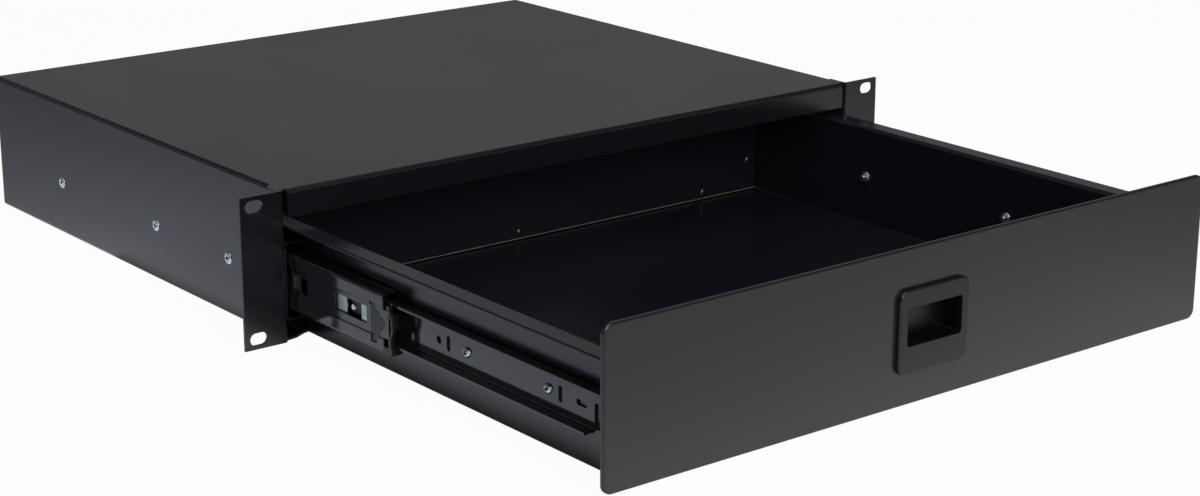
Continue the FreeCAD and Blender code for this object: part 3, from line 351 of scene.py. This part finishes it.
def cross_depth(radius, turn, size):
    """Depth of a cross recess at polar grid points: two bars of one width, with sloped walls.

    A bar is full depth where both its coordinates are inside it, and fades to nothing over the
    slope. The deeper of the two bars holds.
    """
    u, v = radius * np.cos(ANGLES + turn), radius * np.sin(ANGLES + turn)
    slope = size["slope"]

    def bar(a, b):
        return (np.clip((size["bar"] / 2 - np.abs(a)) / slope + 0.5, 0, 1)
                * np.clip((size["span"] / 2 - np.abs(b)) / slope + 0.5, 0, 1))
    return size["deep"] * np.maximum(bar(u, v), bar(v, u))


HEAD_CENTRE = 0.001         # angle of the innermost ring of a head, which is all but a point
HEAD_POWER = 3              # a pan head is flat in its middle and steep at its rim
UNDER_HEAD = -0.02 * MM
HEAD_UNDERSIDE = 0.98       # share of the head's radius that it has underneath
THREAD_START = 0.05 * MM
THREAD_LEAD = 0.3 * MM      # the thread's end narrows over this length
LEAD_SHARE = 0.82           # to this share of its radius


def pan_screw(place, outward, size, turn):
    """A pan head over its shank, and the thread's end, with painted shade in its recess.

    The head's height at radius r is rise * (1 - (r / head) ** 3) ** 0.5, less the cross. The
    shank has a thread: a triangle wave of the angle and the distance, one turn a pitch.
    """
    head, rise, shank = size["head"], size["rise"], size["shank"]
    around = np.ones((1, len(ANGLES)))
    radius = head * np.sin(np.linspace(HEAD_CENTRE, np.pi / 2, HEAD_RINGS))[:, None] * around
    height = rise * np.sqrt(np.clip(1 - (radius / head) ** HEAD_POWER, 0, 1))
    recess = cross_depth(radius, turn, size)
    tail = np.linspace(THREAD_START, size["length"], THREAD_RINGS)[:, None]
    wave = np.abs((ANGLES / (2 * np.pi) + tail / size["pitch"]) % 1 - 0.5) * 2
    lead = np.clip((size["length"] - tail) / THREAD_LEAD, 0, 1)
    thread = (shank - size["thread"] * wave) * (LEAD_SHARE + (1 - LEAD_SHARE) * lead)
    heights = np.concatenate([height - recess, 0.0 * around, UNDER_HEAD * around,
                              -tail * around])
    radii = np.concatenate([radius, head * HEAD_UNDERSIDE * around, shank * around, thread])
    painted_shade = np.zeros(radii.shape)
    # Painted shade, full where the cross is deepest.
    painted_shade[:HEAD_RINGS] = recess / size["deep"]
    return across(place, outward, heights, radii), painted_shade


WASHER_EDGE = 0.7           # share of the washer's height at which its rim starts to round
WASHER_TOP = 0.97           # share of its radius that it has on top
CONE_START = 0.98           # share of the flats' radius at which the end cone starts
CONE_SLOPE = math.tan(math.radians(60.0))
BORE_MOUTH = 1.12           # the bore widens to this many times itself
BORE_MOUTH_DEPTH = 0.15 * MM


def flange_nut(place, outward, size, turn):
    """A hexagon nut on its washer face, bored through, without painted shade.

    The hexagon's radius at an angle is its half width over the cosine of the angle from the
    nearest flat's middle. A 30 degree cone cuts the corners at its free end.

    Its first and last rings meet at the seat, where the faces that close the grid's ends become
    one face across the bore, behind the nut and all but filled by the shank.
    """
    to_flat = (ANGLES + turn + np.pi / 6) % (np.pi / 3) - np.pi / 6
    flat = size["corner"] * np.cos(np.pi / 6)
    high, washer = size["height"], size["washer"]
    levels = np.linspace(washer, high, NUT_RINGS)
    cone = flat * CONE_START + (high - levels) * CONE_SLOPE
    walls = np.minimum(flat / np.cos(to_flat), cone[:, None])
    bore, rim = size["bore"], size["rim"]
    around = np.ones((1, len(ANGLES)))
    radii = np.concatenate([bore * around, rim * around, rim * around, rim * WASHER_TOP * around,
                            walls, bore * BORE_MOUTH * around, bore * around, bore * around])
    heights = np.concatenate([[0.0, 0.0, washer * WASHER_EDGE, washer], levels,
                              [high, high - BORE_MOUTH_DEPTH, 0.0]])
    return across(place, outward, heights[:, None], radii), np.zeros(radii.shape)


# Places along the drawer, in millimetres.
SCREW_Y = {"drawer": (-225.5, -157.0, -35.5), "case": (62.0, 148.0, 272.0)}
SCREW_TURNS = (0.4, 1.3, 2.2)           # the angle that each was left at
NUT_TURNS = (0.3, 0.8, 1.3)
SCREW_SEAT = 0.02 * MM                  # clearance under a head
NUT_SEAT = 0.01 * MM
DRAWER_SCREW = {"head": 2.88 * MM, "rise": 1.98 * MM, "shank": 1.45 * MM, "length": 5.45 * MM,
                "bar": 1.05 * MM, "span": 3.5 * MM, "deep": 1.1 * MM, "slope": 0.15 * MM,
                "pitch": 0.5 * MM, "thread": 0.16 * MM}
CASE_SCREW = {"head": 3.68 * MM, "rise": 0.98 * MM, "shank": 1.9 * MM, "length": 2.65 * MM,
              "bar": 1.1 * MM, "span": 4.2 * MM, "deep": 0.8 * MM, "slope": 0.2 * MM,
              "pitch": 0.7 * MM, "thread": 0.18 * MM}
NUT = {"corner": 3.16 * MM, "height": 2.38 * MM, "washer": 0.7 * MM, "rim": 3.63 * MM,
       "bore": 1.52 * MM}


def level_of(node):
    """Height of the middle of a node's box."""
    low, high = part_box(node)
    return (low[2] + high[2]) / 2


def fasteners(side, hand):
    """Screws through the slides on one side, their heads outwards, and the nuts inside."""
    drawer, case, nuts = (f"{kind}_{side}" for kind in
                          ("drawer_slide_screws", "case_slide_screws", "drawer_slide_nuts"))
    outer = 0 if hand < 0 else 1
    for name, node, ys, size, body in (
            ("drawer_pan_screws", drawer, SCREW_Y["drawer"], DRAWER_SCREW, "drawer"),
            ("case_low_screws", case, SCREW_Y["case"], CASE_SCREW, "case")):
        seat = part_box(node)[outer][0] - hand * (size["rise"] + SCREW_SEAT)
        level = level_of(node)
        parts = [pan_screw((seat, y * MM, level), hand, size, turn)
                 for y, turn in zip(ys, SCREW_TURNS)]
        piece_from(f"{name}_{side}", parts, body, "fastener_zinc", node)
    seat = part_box(nuts)[outer][0] - hand * NUT_SEAT
    level = level_of(nuts)
    parts = [flange_nut((seat, y * MM, level), -hand, NUT, turn)
             for y, turn in zip(SCREW_Y["drawer"], NUT_TURNS)]
    piece_from(f"drawer_flange_nuts_{side}", parts, "drawer", "fastener_zinc", nuts)


fasteners("left", -1)
fasteners("right", 1)


# Studio --------------------------------------------------------------------------------------

FLOOR_SEEN = 0.965                      # share of plain white that the eye sees in the floor
FLOOR_IN_GLOSS = 0.96                   # share of its own white that gloss sees
FLOOR_HALF = 6.0
FLOOR_FADE = 0.28                       # distance at which the mirrored floor is half as bright
UNDER_DRAWER = 0.12                     # share of light left under the drawer
FOOTPRINT_MIDDLE = (0.0, -0.04)
FOOTPRINT_HALF = (0.21, 0.25)
# The mirrored floor brightens between these distances past the footprint.
SHADOW_EDGE = {"X": (-0.004, 0.022), "Y": (-0.012, 0.004)}
COOL_FROM, COOL_TO = -0.18, -0.26       # the floor turns a little blue between these
# The room by the sine of the height above the horizon.
BAND_RISE = (0.10, 0.30)
BAND_LIGHT = (0.12, 0.34)
BAND_FALL = (0.30, 0.42)
CEILING = (1.0, 0.2)


def kind_of_ray(tree):
    """Which rays reach a backdrop: the eye's own or those through glass, and those in gloss."""
    path = add(tree, "ShaderNodeLightPath").outputs
    eye = add(tree, "ShaderNodeMath", {0: path["Is Camera Ray"], 1: path["Is Transmission Ray"]},
              operation="MAXIMUM").outputs[0]
    return eye, path["Is Glossy Ray"]


def floor_mirrored(tree, level):
    """How bright the floor looks in gloss: white beside the drawer, fading away from it.

    With d the distance from the drawer's footprint, it is f / (d + f), f being FLOOR_FADE. Under
    the drawer it falls to the shadow's level.
    """
    beyond = add(tree, "ShaderNodeTexCoord").outputs["Object"]
    for operation, other in (("SUBTRACT", (*FOOTPRINT_MIDDLE, level)),
                             ("ABSOLUTE", (0.0, 0.0, 0.0)),
                             ("SUBTRACT", (*FOOTPRINT_HALF, 1.0))):
        beyond = add(tree, "ShaderNodeVectorMath", {0: beyond, 1: other},
                     operation=operation).outputs["Vector"]
    outside = add(tree, "ShaderNodeVectorMath", {0: beyond, 1: (0.0, 0.0, 0.0)},
                  operation="MAXIMUM").outputs["Vector"]
    away = add(tree, "ShaderNodeVectorMath", {0: outside}, operation="LENGTH").outputs["Value"]
    sides = add(tree, "ShaderNodeSeparateXYZ", {0: beyond}).outputs
    open_x, open_y = (add(tree, "ShaderNodeMapRange", {
        "Value": sides[axis], "From Min": near, "From Max": far, "To Min": UNDER_DRAWER},
        interpolation_type="SMOOTHSTEP").outputs["Result"]
        for axis, (near, far) in SHADOW_EDGE.items())
    lit = add(tree, "ShaderNodeMath", {0: open_x, 1: open_y}, operation="MAXIMUM")
    reach = add(tree, "ShaderNodeMath", {0: away, 1: FLOOR_FADE}, operation="ADD")
    fade = add(tree, "ShaderNodeMath", {0: FLOOR_FADE, 1: reach.outputs[0]}, operation="DIVIDE")
    return add(tree, "ShaderNodeMath", {0: fade.outputs[0], 1: lit.outputs[0]},
               operation="MULTIPLY").outputs[0]


def cool_side(tree):
    """White that turns a little blue on the drawer's left, as from a window there."""
    place = add(tree, "ShaderNodeTexCoord").outputs["Object"]
    sideways = add(tree, "ShaderNodeSeparateXYZ", {0: place}).outputs["X"]
    share = add(tree, "ShaderNodeMapRange", {
        "Value": sideways, "From Min": COOL_TO, "From Max": COOL_FROM},
        interpolation_type="SMOOTHSTEP").outputs["Result"]
    return add(tree, "ShaderNodeMix", {0: share, 6: srgb("e8effe"), 7: srgb("ffffff")},
               data_type="RGBA").outputs[2]


def studio_floor(level, half):
    """A wide pale floor at the object's feet that keeps a soft shadow."""
    corners = [(-half, -half, level), (half, -half, level), (half, half, level),
               (-half, half, level)]
    mesh = bpy.data.meshes.new("studio_floor")
    mesh.from_pydata(corners, [], [(0, 1, 2, 3)])
    floor = bpy.data.objects.new("studio_floor", mesh)
    bpy.context.scene.collection.objects.link(floor)
    material = bpy.data.materials.new("pale_paper_floor")
    material.use_nodes = True
    tree = material.node_tree
    tree.nodes.clear()
    shown = add(tree, "ShaderNodeBsdfDiffuse", {"Color": srgb("ececec")}).outputs[0]
    seen = add(tree, "ShaderNodeEmission", {"Color": (1, 1, 1, 1), "Strength": 1.0})
    mirrored = add(tree, "ShaderNodeEmission", {"Color": cool_side(tree),
                                                "Strength": floor_mirrored(tree, level)})
    eye, gloss = kind_of_ray(tree)
    for ray, most, light in ((eye, FLOOR_SEEN, seen), (gloss, FLOOR_IN_GLOSS, mirrored)):
        share = add(tree, "ShaderNodeMath", {0: ray, 1: most}, operation="MULTIPLY").outputs[0]
        shown = add(tree, "ShaderNodeMixShader",
                    {0: share, 1: shown, 2: light.outputs[0]}).outputs[0]
    add(tree, "ShaderNodeOutputMaterial", {"Surface": shown})
    mesh.materials.append(material)


def studio_world():
    """Room light: a pale band above the horizon, and a dark ceiling over it.

    The eye and clear things see plain white instead.
    """
    world = bpy.data.worlds.new("studio")
    world.use_nodes = True
    tree = world.node_tree
    tree.nodes.clear()
    heading = add(tree, "ShaderNodeTexCoord").outputs["Generated"]
    height = add(tree, "ShaderNodeSeparateXYZ", {0: heading}).outputs["Z"]
    rising, ceiling = (add(tree, "ShaderNodeMapRange", {
        "Value": height, "From Min": start, "From Max": end, "To Min": below, "To Max": above},
        interpolation_type="SMOOTHSTEP").outputs["Result"]
        for (start, end), (below, above) in ((BAND_RISE, BAND_LIGHT), (BAND_FALL, CEILING)))
    level = add(tree, "ShaderNodeMath", {0: rising, 1: ceiling}, operation="MULTIPLY").outputs[0]
    room = add(tree, "ShaderNodeBackground", {"Color": srgb("f4f5f8"), "Strength": level})
    white = add(tree, "ShaderNodeBackground", {"Color": (1, 1, 1, 1), "Strength": 1.0})
    eye, _ = kind_of_ray(tree)
    mixed = add(tree, "ShaderNodeMixShader",
                {0: eye, 1: room.outputs[0], 2: white.outputs[0]})
    add(tree, "ShaderNodeOutputWorld", {"Surface": mixed.outputs[0]})
    bpy.context.scene.world = world


def softbox(name, place, target, size, power):
    """A square area lamp that faces a target."""
    lamp = bpy.data.lights.new(name, "AREA")
    lamp.shape = "SQUARE"
    lamp.size = size
    lamp.energy = power
    item = bpy.data.objects.new(name, lamp)
    item.location = place
    item.rotation_euler = (Vector(target) - Vector(place)).to_track_quat("-Z", "Y").to_euler()
    bpy.context.scene.collection.objects.link(item)


def studio_camera():
    """A long lens, low and to the left of the drawer's front."""
    data = bpy.data.cameras.new("camera")
    data.sensor_width = 36.0
    data.lens = 73.43
    data.shift_x = 0.00725
    data.shift_y = -0.0033
    camera = bpy.data.objects.new("camera", data)
    camera.location = (-0.8827, -1.1257, 0.4035)
    camera.rotation_euler = (math.radians(73.28), 0.0, math.radians(-38.17))
    bpy.context.scene.collection.objects.link(camera)
    bpy.context.scene.camera = camera


studio_floor(CAD_BOX[0][2], FLOOR_HALF)
studio_world()
softbox("overhead", (-0.2, -0.4, 2.2), (0.0, -0.05, 0.0), 1.8, 18.0)
softbox("key", (-0.6, -1.4, 1.9), (0.0, 0.0, 0.0), 1.2, 8.0)
softbox("front", (-0.5, -1.9, 0.9), (0.0, 0.0, 0.0), 0.9, 18.0)
studio_camera()
bpy.context.scene.view_settings.view_transform = "Standard"
